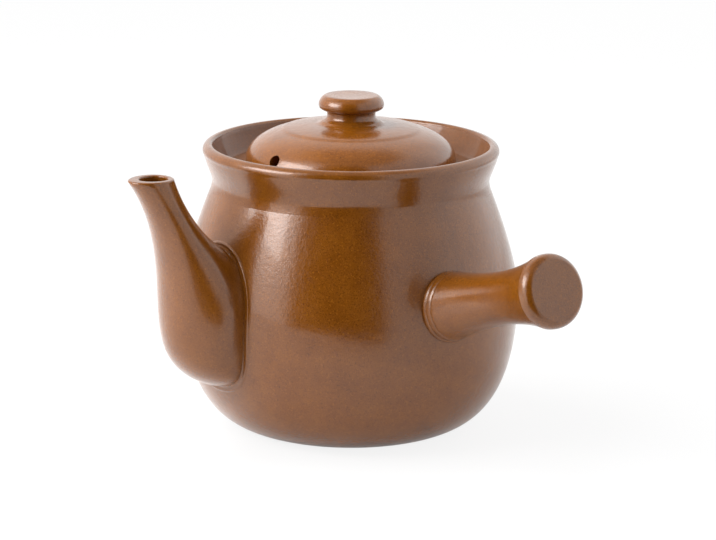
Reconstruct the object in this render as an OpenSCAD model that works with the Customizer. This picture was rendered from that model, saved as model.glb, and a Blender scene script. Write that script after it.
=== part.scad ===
// Clay cooking pot with a pouring spout, a hollow side handle and a lid that lifts off.
// It stands upright on its foot. The origin is the centre of the foot, the spout points
// towards -X and the side handle towards -Y. All sizes are in millimetres.
// Heights of the belly are above the table. Those of the collar are above the neck edge,
// those of the lid above the ledge that it rests on, and those of the knob above its seat.

/* [Belly] */
// Outer radius of the flat foot
foot_r = 53; // [47:1:56]
// Width of the ring that stands on the table
foot_ring_w = 9; // [6:1:14]
// Depth of the hollow inside that ring
foot_hollow = 1.5; // [1:0.5:2.5]
// Widest radius of the belly
belly_r = 95; // [90:1:100]
// Height of the widest line
belly_z = 75; // [68:1:82]
// Outer radius of the neck edge, where the collar is luted on
neck_r = 77.3; // [74:0.5:81]
// Height of the neck edge
neck_z = 137.4; // [130:0.2:144]
// Thickness of the belly wall
belly_wall = 5; // [4:0.5:6]
// Thickness of the floor
floor_t = 6; // [4:0.5:8]
// Rise of the underside where it leaves the foot, in degrees
foot_rise = 4; // [1:1:10]
// Lean of the shoulder where it meets the collar, in degrees
shoulder_lean = 22; // [16:1:30]

/* [Strainer] */
// Diameter of the strainer holes behind the spout
strainer_d = 5; // [4:0.5:6]
// Radius of the ring of strainer holes
strainer_ring_r = 13; // [10:1:15]
// Number of holes in that ring
strainer_count = 6; // [4:1:6]

/* [Collar] */
// Height of the lip above the neck edge
collar_h = 23; // [20:0.5:28]
// Height of the waist above the neck edge, below which the face stands nearly upright
waist_h = 6.5; // [5:0.5:8]
// How far inside the lip the collar's face is drawn where the ledge lies behind it
collar_flare = 2.3; // [1.5:0.1:4.4]
// Widest radius of the lip
lip_r = 82.7; // [81:0.1:87]
// Thickness of the lip
lip_t = 5.7; // [4.5:0.1:7]
// Height of the rounded bead under the lip's crown
bead_h = 5; // [4:0.5:6]
// How far that bead swells past the lip's radius
bead_swell = 0.4; // [0:0.1:1.2]
// Height of the lid ledge above the neck edge
ledge_h = 9.6; // [8:0.2:12]
// Thickness of the ledge at its inner edge
ledge_t = 6; // [4:0.5:7]
// Outer radius of the ledge, at the foot of the inner wall
trough_r = 71; // [66:0.5:73]
// Thickness of the clay at the waist, outside the trough's radius
collar_wall = 6.3; // [4:0.1:8]
// Radius of the opening inside the ledge
mouth_r = 54; // [51:0.5:56]

/* [Lid] */
// Radius of the lid
lid_r = 58.8; // [57.5:0.1:62]
// Height of the lid's upright edge
lid_edge_h = 3.5; // [2.5:0.5:8]
// Height of the dome where the knob's boss begins
lid_dome_h = 23.8; // [22:0.2:28]
// Height of the boss above that
boss_h = 2.4; // [1:0.2:3]
// Thickness of the lid
lid_t = 5; // [4:0.5:6]
// Radius of the turned step on the dome
lid_step_r = 38.5; // [28:0.5:42]
// Height of the turned step
lid_step_h = 0.5; // [0.2:0.1:1]
// Height of the play under the lid's edge
seat_gap = 0.3; // [0.2:0.1:0.5]
// Radial play of the locating flange in the mouth
flange_play = 1.5; // [1:0.1:2.5]
// Thickness of the flange
flange_t = 4.5; // [3.5:0.5:5.5]
// Depth of the flange below the lid's underside
flange_h = 9; // [6:0.5:12]
// Diameter of the steam hole
steam_d = 7.2; // [4:0.2:7.6]
// Distance of the steam hole from the edge of the lid
steam_edge = 1.8; // [1.4:0.1:4]
// Turn of the steam hole from the spout towards the handle, in degrees
steam_turn = 7; // [0:1:30]
// Lean of the steam hole from upright, in degrees
steam_lean = 60; // [46:1:64]

/* [Knob] */
// Height of the knob
knob_h = 14; // [12:0.1:18]
// Widest radius of the knob
knob_r = 18.2; // [16:0.5:21]
// Radius of its flat top
knob_top_r = 14.7; // [12:0.1:15.5]
// Radius of its neck
knob_neck_r = 13.5; // [11:0.5:14.5]
// Radius of its foot on the lid
knob_foot_r = 15.8; // [15:0.1:18]

/* [Spout] */
// Distance of the middle of the mouth from the pot's axis
spout_reach = 130.6; // [124:0.2:138]
// Height of the mouth
spout_top_z = 155; // [150:0.5:160]
// Lean of the spout's neck from upright, in degrees
spout_lean = 24; // [15:0.5:28]
// Height of the middle of the spout's root
spout_root_z = 77.4; // [72:0.2:82]
// Half the height of the bulb at the root
spout_bulb_h = 43.1; // [38:0.1:46]
// Half the width of the bulb at the root
spout_bulb_w = 29.4; // [24:0.5:31]
// Outer radius of the spout at its mouth
spout_mouth_r = 11.5; // [9.5:0.1:12.5]
// Thickness of the spout's wall
spout_wall = 4.5; // [3.5:0.1:5]
// Radius that rounds the edges of its mouth
spout_edge_r = 0.9; // [0.6:0.1:1.6]

/* [Handle] */
// Height at which the handle's axis leaves the belly
handle_z = 86.6; // [80:0.2:92]
// Upward tilt of the handle, in degrees
handle_tilt = 17.2; // [8:0.1:22]
// Length of the handle from the belly to its end
handle_len = 89.8; // [75:0.2:110]
// Radius of the handle at its root
handle_root_r = 19.1; // [17:0.1:22]
// Radius that draws in the waist, on the belly's side
handle_waist_a = 14.1; // [12:0.1:17]
// Radius that draws in the waist, on the end's side
handle_waist_b = 11; // [9:0.1:15]
// Radius of the handle's end
handle_end_r = 19.5; // [17:0.1:22]
// Thickness of the handle's wall
handle_wall = 4.5; // [3.5:0.5:5.5]
// Thickness of the disc that closes the end
end_cap_t = 7; // [5.5:0.5:9]
// Radius that rounds the end's edge
end_edge_r = 5.2; // [3:0.1:5.4]

/* [Hidden] */
$fn = 96;

// Steps along one curve, and along a short rounding
steps = 12;
short_steps = 6;
// Gap left where a piece is luted to the curve of the belly
slip = 0.1;
// Glazed clay, a little apart in tone so that the joints can be seen
clay = [0.58, 0.36, 0.20];
clay_dark = [0.50, 0.30, 0.16];
clay_pale = [0.66, 0.43, 0.26];

// Points and directions on a cubic curve with four control points
function bez(p, t) = pow(1 - t, 3)*p[0] + 3*t*pow(1 - t, 2)*p[1] + 3*t*t*(1 - t)*p[2] + t*t*t*p[3];
function bez_dir(p, t) =
    pow(1 - t, 2)*(p[1] - p[0]) + 2*t*(1 - t)*(p[2] - p[1]) + t*t*(p[3] - p[2]);
function unit(v) = v/norm(v);
function curve(p, n) = [for (i = [0:n]) bez(p, i/n)];
// The same curve moved sideways, to the left of its direction of travel
function beside(p, d, n) =
    [for (i = [0:n]) let (u = unit(bez_dir(p, i/n))) bez(p, i/n) + d*[-u[1], u[0]]];
function backwards(v) = [for (i = [len(v) - 1:-1:0]) v[i]];

// The belly's outer line, from the foot to the widest line and up to the neck edge
foot_pull = 39.5;
belly_pull_low = 19.5;
belly_pull_high = 18;
neck_pull = 12;
belly_low = [
    [foot_r, 0],
    [foot_r + foot_pull*cos(foot_rise), foot_pull*sin(foot_rise)],
    [belly_r, belly_z - belly_pull_low],
    [belly_r, belly_z]];
belly_high = [
    [belly_r, belly_z],
    [belly_r, belly_z + belly_pull_high],
    [neck_r + neck_pull*sin(shoulder_lean), neck_z - neck_pull*cos(shoulder_lean)],
    [neck_r, neck_z]];
belly_line = concat(curve(belly_low, steps), [for (i = [1:steps]) bez(belly_high, i/steps)]);
// Outer radius of the belly at a height
belly_table = [for (p = belly_line) [p[1], p[0]]];
function belly_radius(z) = lookup(z, belly_table);
// Inner line, one wall thickness inside the outer one, from the floor to just below the neck
floor_z = foot_hollow + floor_t;
inner_line = [
    for (p = concat(beside(belly_low, belly_wall, steps), beside(belly_high, belly_wall, steps)))
        if (p[1] > floor_z + 1 && p[1] < neck_z - 2) p];
neck_inner_r = neck_r - belly_wall/cos(shoulder_lean);
floor_r = foot_r + belly_wall/2;

// Roundings of the lip and of the ledge, and small chamfers
lip_round = 2;
ledge_round = 2;
small_edge = 1;

// Heights that the other pieces share
ledge_z = neck_z + ledge_h;
lip_z = neck_z + collar_h;
lid_z = ledge_z + seat_gap;
knob_z = ledge_z + lid_dome_h + boss_h;
flange_r = mouth_r - flange_play;
flange_inner_r = flange_r - flange_t;
boss_r = knob_foot_r + 0.5;
boss_foot_r = boss_r + 4;

module vessel() {
    foot_inner_r = foot_r - foot_ring_w;
    color(clay) difference() {
        rotate_extrude() polygon(concat(
            [[0, foot_hollow], [foot_inner_r - 1, foot_hollow], [foot_inner_r, 0]],
            belly_line,
            [[neck_inner_r, neck_z]],
            backwards(inner_line),
            [[floor_r, floor_z], [0, floor_z]]));
        for (h = strainer_holes) translate([0, h[0], h[1]]) rotate([0, -90, 0])
            cylinder(d = strainer_d, h = belly_r + belly_wall);
    }
}
// One strainer hole in the middle and a ring of them round it, as [y, z]
strainer_holes = concat([[0, spout_root_z]], [
    for (i = [0:strainer_count - 1]) let (a = 360*i/strainer_count)
        [strainer_ring_r*cos(a), spout_root_z + strainer_ring_r*sin(a)]]);

module collar() {
    bead_z = lip_z - bead_h;
    crown_r = lip_r - lip_t*0.7;
    lip_in_r = lip_r - lip_t;
    face = [
        [neck_r, neck_z],
        [trough_r + collar_wall, neck_z + waist_h],
        [lip_r - collar_flare, ledge_z],
        [lip_r, bead_z]];
    lip_outside = [
        [lip_r, bead_z],
        [lip_r + bead_swell, lip_z - lip_round],
        [lip_r - lip_t*0.25, lip_z],
        [crown_r, lip_z]];
    lip_inside = [
        [crown_r, lip_z],
        [(crown_r + lip_in_r)/2, lip_z],
        [lip_in_r, lip_z - lip_round/2],
        [lip_in_r, lip_z - lip_round]];
    trough_corner = [
        [trough_r + ledge_round/2, ledge_z + ledge_round],
        [trough_r, ledge_z + ledge_round/3],
        [trough_r - ledge_round/3, ledge_z],
        [trough_r - ledge_round, ledge_z]];
    ledge_edge = [
        [mouth_r + ledge_round, ledge_z],
        [mouth_r + ledge_round/3, ledge_z],
        [mouth_r, ledge_z - ledge_round/3],
        [mouth_r, ledge_z - ledge_round]];
    color(clay_pale) rotate_extrude() polygon(concat(
        [[neck_inner_r, neck_z]],
        curve(face, steps),
        [for (i = [1:short_steps]) bez(lip_outside, i/short_steps)],
        [for (i = [1:short_steps]) bez(lip_inside, i/short_steps)],
        curve(trough_corner, short_steps),
        curve(ledge_edge, short_steps),
        [[mouth_r, ledge_z - ledge_t + small_edge], [mouth_r + small_edge, ledge_z - ledge_t]]));
}

// The lid's dome, from the top of its upright edge to the boss under the knob
dome_rise = 11;
dome_run = 25.7;
dome_drop = 1.5;
lid_dome = [
    [lid_r, ledge_z + lid_edge_h],
    [lid_r, ledge_z + lid_edge_h + dome_rise],
    [boss_foot_r + dome_run, ledge_z + lid_dome_h - dome_drop],
    [boss_foot_r, ledge_z + lid_dome_h]];
lid_edge_round = 1.2;
steam_bore_h = 30;
module lid() {
    line = curve(lid_dome, 2*steps);
    stepped = [for (p = line) p + [0, p[0] < lid_step_r ? lid_step_h : 0]];
    hollow = [for (p = beside(lid_dome, lid_t, 2*steps)) if (p[0] < flange_inner_r - small_edge) p];
    underside = [
        [flange_inner_r, lid_z],
        [lid_r - lid_edge_round, lid_z],
        [lid_r - lid_edge_round*0.3, lid_z + lid_edge_round*0.3],
        [lid_r, lid_z + lid_edge_round]];
    boss = [[boss_r + small_edge, stepped[2*steps][1] + boss_h/2], [boss_r, knob_z], [0, knob_z]];
    steam_x = lid_r - steam_edge;
    color(clay) difference() {
        rotate_extrude() polygon(concat(
            underside, stepped, boss,
            [[0, hollow[len(hollow) - 1][1]]],
            backwards(hollow),
            [[flange_inner_r, lid_z + 4*small_edge]]));
        rotate(steam_turn) translate([-steam_x, 0, lookup(steam_x, backwards(line))])
            rotate([0, -steam_lean, 0])
            translate([0, 0, -0.6*steam_bore_h]) cylinder(d = steam_d, h = steam_bore_h);
    }
}

module lid_flange() {
    flange_z = lid_z - flange_h;
    color(clay_dark) rotate_extrude() polygon([
        [flange_inner_r, flange_z + small_edge],
        [flange_inner_r + small_edge, flange_z],
        [flange_r - small_edge, flange_z],
        [flange_r, flange_z + small_edge],
        [flange_r, lid_z],
        [flange_inner_r, lid_z]]);
}

// Height of the knob's flared foot, of its neck and of its widest line
knob_foot_h = 1.8;
knob_neck_h = 4.2;
knob_wide_h = knob_h*0.62;
// How steeply the head rises above that line, and how far its shoulder lies below the top
knob_brow_h = 2.5;
knob_shoulder_h = 0.7;
module knob() {
    foot = [
        [knob_foot_r, 0],
        [knob_neck_r, knob_foot_h/2],
        [knob_neck_r, knob_foot_h],
        [knob_neck_r, knob_neck_h - 1]];
    under = [
        [knob_neck_r, knob_neck_h],
        [knob_neck_r, knob_neck_h*1.4],
        [knob_r, knob_neck_h*1.35],
        [knob_r, knob_wide_h]];
    over = [
        [knob_r, knob_wide_h],
        [knob_r, knob_wide_h + knob_brow_h],
        [(knob_r + knob_top_r)/2, knob_h - knob_shoulder_h],
        [knob_top_r, knob_h]];
    color(clay_pale) translate([0, 0, knob_z]) rotate_extrude() polygon(concat(
        [[0, 0]],
        curve(foot, short_steps),
        curve(under, short_steps),
        [for (i = [1:short_steps]) bez(over, i/short_steps)],
        [[0, knob_h]]));
}

// The spout's middle line in the plane of the axis, as [distance from the axis, height].
// It starts inside the belly and is laid out a little past the mouth, which cuts it level.
spout_neck_pull = 50;
spout_sink = 10;
spout_path = [
    [belly_r - spout_sink, spout_root_z],
    [belly_r - 1, spout_root_z + 1],
    [spout_reach - spout_neck_pull*sin(spout_lean), spout_top_z - spout_neck_pull*cos(spout_lean)],
    [spout_reach, spout_top_z]];
// Half its height and half its width along that line
spout_throat_h = 2;
spout_throat_w = 3.7;
spout_swell = 8;
spout_taper = 5;
spout_heights = [spout_bulb_h, spout_bulb_h - spout_taper, spout_throat_h, spout_mouth_r];
spout_widths = [spout_bulb_w, spout_bulb_w + spout_swell, spout_mouth_r + spout_throat_w, spout_mouth_r];
spout_rings = 20;
spout_sides = 32;
mouth_steps = 3;

// A point of the skin at travel t and angle a round it, d inside the outer face
function spout_skin(t, a, d) =
    let (c = bez(spout_path, t), u = unit(bez_dir(spout_path, t)))
    let (h = bez(spout_heights, t) - d, w = bez(spout_widths, t) - d)
    [-c[0] - h*cos(a)*u[1], w*sin(a), c[1] - h*cos(a)*u[0]];
// Travel at which that line of the skin leaves the belly, found by halving
function root_travel(a, d, lo = -0.4, hi = 0.7, n = 24) =
    let (m = (lo + hi)/2, p = spout_skin(m, a, d))
    n == 0 ? m
    : norm([p[0], p[1]]) < belly_radius(p[2]) + slip ? root_travel(a, d, m, hi, n - 1)
    : root_travel(a, d, lo, m, n - 1);
// Travel at which it reaches a height
function top_travel(a, d, z, lo = 0.7, hi = 1.3, n = 24) =
    let (m = (lo + hi)/2)
    n == 0 ? m
    : spout_skin(m, a, d)[2] < z ? top_travel(a, d, z, m, hi, n - 1)
    : top_travel(a, d, z, lo, m, n - 1);
// Rings from the root to just under the mouth, each with spout_sides points
function spout_wall_rings(d) = [
    for (i = [0:spout_rings]) [
        for (j = [0:spout_sides - 1]) let (a = 360*j/spout_sides)
            let (t0 = root_travel(a, d), t1 = top_travel(a, d, spout_top_z - spout_edge_r))
                spout_skin(t0 + (t1 - t0)*i/spout_rings, a, d)]];
// Rings that round the mouth's edge. The sign says whether they turn inwards or outwards.
function mouth_rings(ring, sign) = [
    for (i = [1:mouth_steps]) let (f = 90*i/mouth_steps) [
        for (p = ring) let (c = [-spout_reach, 0, p[2]])
            p + sign*spout_edge_r*(1 - cos(f))*unit(c - p) + [0, 0, spout_edge_r*sin(f)]]];

module spout() {
    outside = spout_wall_rings(0);
    inside = spout_wall_rings(spout_wall);
    rings = concat(
        outside,
        mouth_rings(outside[spout_rings], 1),
        backwards(mouth_rings(inside[spout_rings], -1)),
        backwards(inside));
    faces = [
        for (k = [0:len(rings) - 1]) for (j = [0:spout_sides - 1])
            let (k2 = (k + 1)%len(rings), j2 = (j + 1)%spout_sides)
            let (a = k*spout_sides + j, b = k*spout_sides + j2)
            let (c = k2*spout_sides + j2, d = k2*spout_sides + j)
            each [[a, b, c], [a, c, d]]];
    color(clay_dark) polyhedron([for (r = rings) each r], faces);
}

// The handle's outer line along its own axis, as [radius, distance from the belly]
handle_tube_len = handle_len - end_cap_t;
handle_line = [
    [handle_root_r, 0],
    [handle_waist_a, handle_tube_len*0.3],
    [handle_waist_b, handle_tube_len*0.66],
    [handle_end_r, handle_tube_len]];
// How far it is drawn on into the belly, before the belly's curve trims it
handle_sink = 20;
module place_handle() {
    translate([0, -belly_radius(handle_z), handle_z]) rotate([90 - handle_tilt, 0, 0]) children();
}
module handle() {
    root_slope = (handle_root_r - handle_waist_a)/(handle_tube_len*0.3);
    sunk_r = handle_root_r + root_slope*handle_sink;
    color(clay_dark) difference() {
        place_handle() rotate_extrude() polygon(concat(
            [[sunk_r - handle_wall, -handle_sink], [sunk_r, -handle_sink]],
            curve(handle_line, 2*steps),
            [[handle_end_r - handle_wall, handle_tube_len]],
            backwards([for (p = beside(handle_line, handle_wall, 2*steps))
                if (p[1] > 0 && p[1] < handle_tube_len - 1) p])));
        rotate_extrude() polygon(concat(
            [[0, 0]],
            [for (p = belly_line) p + [slip, 0]],
            [[0, neck_z]]));
    }
}

module handle_end_cap() {
    rounding = [for (i = [0:short_steps]) let (f = 90*i/short_steps)
        [handle_end_r - end_edge_r*(1 - cos(f)), end_cap_t - end_edge_r*(1 - sin(f))]];
    color(clay) place_handle() translate([0, 0, handle_tube_len]) rotate_extrude() polygon(
        concat([[0, 0], [handle_end_r, 0]], rounding, [[0, end_cap_t]]));
}

vessel();
collar();
spout();
handle();
handle_end_cap();
lid();
lid_flange();
knob();
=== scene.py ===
# %% [markdown]
# # A glazed clay cooking pot
# This lesson dresses a small cooking pot made of clay: a round belly thrown on a wheel, a
# collar with a rolled lip, a pouring spout, a hollow side handle, and a lid with a knob that
# drops into the collar. Its real sizes and its moving parts are already settled in a plain
# solid model, which is loaded first and isn't changed. Each piece is then modelled again with
# finer curves, in the same place, and gets a glaze.

# %% Load the solid model
import math

import bpy
import numpy as np
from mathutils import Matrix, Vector


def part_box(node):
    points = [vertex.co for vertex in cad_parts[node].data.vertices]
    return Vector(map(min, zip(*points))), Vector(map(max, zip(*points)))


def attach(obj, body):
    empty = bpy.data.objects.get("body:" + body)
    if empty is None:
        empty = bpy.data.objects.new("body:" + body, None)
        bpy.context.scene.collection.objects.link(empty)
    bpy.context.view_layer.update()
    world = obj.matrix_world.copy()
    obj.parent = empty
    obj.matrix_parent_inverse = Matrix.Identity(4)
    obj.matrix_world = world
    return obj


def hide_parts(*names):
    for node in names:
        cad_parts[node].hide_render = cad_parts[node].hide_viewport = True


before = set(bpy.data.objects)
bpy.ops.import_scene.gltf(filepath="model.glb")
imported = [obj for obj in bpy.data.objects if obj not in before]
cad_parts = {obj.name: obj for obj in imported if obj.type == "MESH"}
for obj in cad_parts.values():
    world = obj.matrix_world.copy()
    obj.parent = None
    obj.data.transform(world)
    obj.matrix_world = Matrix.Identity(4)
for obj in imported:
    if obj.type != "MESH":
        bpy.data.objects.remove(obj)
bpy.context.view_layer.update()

print("pieces in the solid model:", sorted(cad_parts))

# %% [markdown]
# ## The camera
# The picture is taken from a little above, with a long lens, so that the pot's sides stay
# nearly upright. The spout then points to the left and a little towards us, and the handle
# to the right and well towards us. Setting the camera before anything else means that every
# later choice can be judged through it.

# %% Camera
camera_at = (-0.8547, -1.1760, 0.4476)
camera_aim = (0.0049, -0.0009, 0.0865)
camera_roll = math.radians(0.5)
lens_mm = 133.4
sensor_mm = 36.0


def point_at(thing, place, target, roll=0.0):
    """Puts a camera or a lamp at a place, looking along its own -Z at a target."""
    thing.location = place
    look = Vector(target) - Vector(place)
    turn = look.to_track_quat("-Z", "Y").to_euler()
    thing.rotation_euler = turn
    thing.rotation_euler.rotate_axis("Z", roll)


bpy.ops.object.camera_add()
camera = bpy.context.object
camera.data.lens = lens_mm
camera.data.sensor_width = sensor_mm
point_at(camera, camera_at, camera_aim, camera_roll)
bpy.context.scene.camera = camera
print("camera distance in metres:", round((Vector(camera_at) - Vector(camera_aim)).length, 3))

# %% [markdown]
# ## Sizes
# What the solid model can tell is read from it: how high the collar starts, how wide the lid
# is, where the knob sits. The rest are the potter's own sizes, such as walls and roundings.
# All lengths here are in metres, and `mm` turns a size in millimetres into one.

# %% Sizes of the pot
mm = 0.001
vessel_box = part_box("vessel")
collar_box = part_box("collar")
lid_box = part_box("lid")
flange_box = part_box("lid_flange")
knob_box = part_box("knob")
spout_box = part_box("spout")

belly_r = vessel_box[1].y
neck_z = collar_box[0].z
lip_z = collar_box[1].z
lid_r = lid_box[1].x
lid_z = lid_box[0].z
knob_z = knob_box[0].z
knob_h = knob_box[1].z - knob_z
knob_r = knob_box[1].x
flange_r = flange_box[1].x
flange_z = flange_box[0].z
spout_top_z = spout_box[1].z

belly_z = 75 * mm
belly_wall = 5 * mm
foot_r = 53 * mm
foot_ring_w = 9 * mm
foot_hollow = 1.5 * mm
foot_round = 0.8 * mm
floor_z = 7.5 * mm
foot_rise = math.radians(4)
neck_r = 77.3 * mm
shoulder_lean = math.radians(22)
print("belly is", round(2 * belly_r / mm), "mm wide, and its neck is", round(neck_z / mm, 1), "mm up")

# %% [markdown]
# ## Curves
# A thrown wall has no corners, so its outline is drawn with cubic curves: each is given by
# two ends and two handles, as in any drawing program. `curve` walks along one in equal steps
# of its own travel, and `beside` walks along a line at a steady distance, which is how a wall
# of even thickness gets its inner face. The whole number given to either is its count of
# steps: more where the bend is long or sharp. `smooth` turns a straight step into a soft one.

# %% Curves
same_point = 0.02 * mm


def cubic(values, t):
    """A number or a point that changes along a cubic curve."""
    a, b, c, d = values
    return (1 - t) ** 3 * a + 3 * t * (1 - t) ** 2 * b + 3 * t * t * (1 - t) * c + t**3 * d


def bezier(points, t):
    """A point on a cubic curve."""
    return cubic([Vector(p) for p in points], t)


def bezier_way(points, t):
    """The direction of travel there."""
    a, b, c, d = (Vector(p) for p in points)
    way = (1 - t) ** 2 * (b - a) + 2 * t * (1 - t) * (c - b) + t * t * (d - c)
    return way.normalized()


def curve(points, count, start=0):
    """Points along the curve in equal steps of travel, from the step called start."""
    return [bezier(points, i / count) for i in range(start, count + 1)]


def beside(points, distance, count):
    """The same curve, moved to the left of its direction of travel."""
    line = []
    for i in range(count + 1):
        way = bezier_way(points, i / count)
        line.append(bezier(points, i / count) + distance * Vector((-way.y, way.x)))
    return line


def outline(*runs):
    """Joins runs of points, given as (radius, height), into one line without doubles."""
    line = []
    for run in runs:
        for point in run:
            point = Vector(point[:2])
            if not line or (point - line[-1]).length > same_point:
                line.append(point)
    return line


def smooth(share):
    """An eased step from 0 to 1."""
    share = min(max(share, 0), 1)
    return share * share * (3 - 2 * share)


# %% [markdown]
# ## Throwing a piece
# A potter shapes the clay while the wheel turns it. Blender does the same with Spin: half of
# the wall's cut face is drawn as a chain of edges, by extruding one vertex again and again,
# and the chain is then turned once round the pot's axis. Where the chain touches the axis or
# meets itself, its doubles are merged, so that the skin is closed.

# %% A wheel
turns = 192
merge_within = 0.005 * mm
turned_crease = 38


def shade(piece, angle=turned_crease):
    """Smooth shading, but for edges sharper than the angle in degrees."""
    bpy.ops.object.select_all(action="DESELECT")
    piece.select_set(True)
    bpy.context.view_layer.objects.active = piece
    bpy.ops.object.shade_smooth_by_angle(angle=math.radians(angle))


def throw(name, line, closed=True):
    """A turned piece from the outline of its cut face."""
    bpy.ops.object.select_all(action="DESELECT")
    bpy.ops.mesh.primitive_plane_add(size=mm)
    piece = bpy.context.object
    piece.name = name
    bpy.ops.object.mode_set(mode="EDIT")
    bpy.ops.mesh.merge(type="CENTER")
    bpy.ops.transform.translate(value=(line[0].x, 0, line[0].y))
    loop = line + [line[0]] if closed else line
    for here, there in zip(loop, loop[1:]):
        step = (there.x - here.x, 0, there.y - here.y)
        bpy.ops.mesh.extrude_region_move(TRANSFORM_OT_translate={"value": step})
    bpy.ops.mesh.select_all(action="SELECT")
    bpy.ops.mesh.spin(steps=turns, angle=2 * math.pi, center=(0, 0, 0), axis=(0, 0, 1))
    bpy.ops.mesh.select_all(action="SELECT")
    bpy.ops.mesh.remove_doubles(threshold=merge_within)
    bpy.ops.mesh.normals_make_consistent(inside=False)
    bpy.ops.object.mode_set(mode="OBJECT")
    shade(piece)
    print(name, "has", len(piece.data.polygons), "faces")
    return piece


# %% [markdown]
# ## The belly
# The belly is one thrown bowl. Its outer line rises from the foot, turns at the widest line
# and leans in to the neck. The foot is turned on the wheel when the clay is leather hard: it
# stands on a ring, with a shallow hollow inside it. The potter's fingers leave faint rings on
# the inner wall, so the inner line waves a little.

# %% Belly
foot_pull = 39.5 * mm
low_pull = 19.5 * mm
high_pull = 18 * mm
neck_pull = 12 * mm
belly_low = [
    (foot_r, 0),
    (foot_r + foot_pull * math.cos(foot_rise), foot_pull * math.sin(foot_rise)),
    (belly_r, belly_z - low_pull),
    (belly_r, belly_z),
]
belly_high = [
    (belly_r, belly_z),
    (belly_r, belly_z + high_pull),
    (neck_r + neck_pull * math.sin(shoulder_lean), neck_z - neck_pull * math.cos(shoulder_lean)),
    (neck_r, neck_z),
]
belly_line = outline(curve(belly_low, 44), curve(belly_high, 36, start=1))


def belly_radius(z):
    """Outer radius of the belly at a height."""
    return float(np.interp(z, [p.y for p in belly_line], [p.x for p in belly_line]))


finger_ring = 9 * mm
finger_depth = 0.35 * mm
floor_gap = 3 * mm
neck_gap = 2 * mm
neck_inner_r = neck_r - belly_wall / math.cos(shoulder_lean)
inner_wall = beside(belly_low, belly_wall, 60) + beside(belly_high, belly_wall, 48)[1:]
inner_line = [
    Vector((p.x - finger_depth * (1 - math.cos(2 * math.pi * p.y / finger_ring)) / 2, p.y))
    for p in inner_wall
    if floor_z + floor_gap < p.y < neck_z - neck_gap
]
hollow_slope_w = 2 * mm
foot_inner_r = foot_r - foot_ring_w
foot_round_stop = 0.03
foot_corner = [
    (foot_r - foot_round, 0),
    (foot_r - foot_round / 3, 0),
    (foot_r, 0),
    bezier(belly_low, foot_round_stop),
]
floor_pull = 4 * mm
wall_pull = 5 * mm
wall_pull_rise = 0.6 * mm
floor_corner = [
    (foot_r - floor_pull, floor_z),
    (foot_r + floor_pull, floor_z),
    (inner_line[0].x - wall_pull, floor_z + wall_pull_rise),
    inner_line[0],
]
belly = throw(
    "thrown_belly",
    outline(
        [(0, foot_hollow), (foot_inner_r - hollow_slope_w, foot_hollow)],
        [(foot_inner_r - foot_round, foot_round), (foot_inner_r, 0)],
        curve(foot_corner, 5),
        belly_line[2:],
        [(neck_inner_r, neck_z)],
        reversed(inner_line),
        reversed(curve(floor_corner, 10)),
        [(0, floor_z)],
    ),
    closed=False,
)

# %% [markdown]
# ## Strainer holes
# Behind the spout the belly isn't cut away but pierced, so that herbs and bones stay in the
# pot when it pours. A Boolean modifier does what the potter's piercing tool does: seven thin
# cylinders are joined into one cutter and taken out of the wall.

# %% Strainer
strainer_d = 5 * mm
strainer_ring_r = 13 * mm
strainer_z = 77.4 * mm
ring_holes = 6
pierce_depth = 40 * mm
bit_sides = 40


def cut_away(piece, cutter):
    """Takes the cutter's shape out of the piece, and removes the cutter."""
    modifier = piece.modifiers.new("cut", "BOOLEAN")
    modifier.operation = "DIFFERENCE"
    modifier.solver = "EXACT"
    modifier.object = cutter
    bpy.ops.object.select_all(action="DESELECT")
    bpy.context.view_layer.objects.active = piece
    piece.select_set(True)
    bpy.ops.object.modifier_apply(modifier="cut")
    bpy.data.objects.remove(cutter)


def drill(places, diameter, depth, rotation):
    """One cutter made of a bit at each place."""
    bpy.ops.object.select_all(action="DESELECT")
    bits = []
    for place in places:
        bpy.ops.mesh.primitive_cylinder_add(
            vertices=bit_sides, radius=diameter / 2, depth=depth, location=place,
            rotation=rotation)
        bits.append(bpy.context.object)
    for bit in bits:
        bit.select_set(True)
    bpy.context.view_layer.objects.active = bits[0]
    if len(bits) > 1:
        bpy.ops.object.join()
    return bits[0]


hole_places = [(-belly_r, 0, strainer_z)]
for i in range(ring_holes):
    around = math.radians(360 / ring_holes * i)
    hole_places.append((
        -belly_r,
        strainer_ring_r * math.cos(around),
        strainer_z + strainer_ring_r * math.sin(around),
    ))
cut_away(belly, drill(hole_places, strainer_d, pierce_depth, (0, math.radians(90), 0)))
shade(belly)
print("strainer holes:", len(hole_places))

# %% [markdown]
# ## The collar
# The collar is thrown apart and luted onto the shoulder, where a wet finger smooths the join
# into a soft inner corner. The face stands nearly upright at first and then flares to a
# rounded bead and lip. Inside, a ledge carries the lid, well below the lip, so that the pot
# doesn't boil over.

# %% Collar
waist_h = 6.5 * mm
collar_wall = 6.3 * mm
collar_flare = 2.3 * mm
lip_r = 82.7 * mm
lip_t = 5.7 * mm
lip_crown = 0.7
lip_shoulder = 0.25
bead_h = 5 * mm
bead_swell = 0.4 * mm
bead_crease = 0.35 * mm
bead_pull = 0.5 * mm
lip_round = 2 * mm
ledge_h = 9.6 * mm
ledge_t = 6 * mm
ledge_round = 2 * mm
ledge_chamfer = mm
trough_r = 71 * mm
mouth_r = 54 * mm
ledge_z = neck_z + ledge_h
crown_r = lip_r - lip_crown * lip_t
lip_in_r = lip_r - lip_t
face = [
    (neck_r, neck_z),
    (trough_r + collar_wall, neck_z + waist_h),
    (lip_r - collar_flare, ledge_z),
    (lip_r - bead_crease, lip_z - bead_h),
]
smoothed_h = 2.4 * mm
smoothed_t = 0.08 * mm
join_under = (0.42 * mm, -0.2 * mm)
join_over = (0.30 * mm, 0.8 * mm)
face_line = [p for p in curve(face, 22) if p.y > neck_z + smoothed_h]
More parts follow.
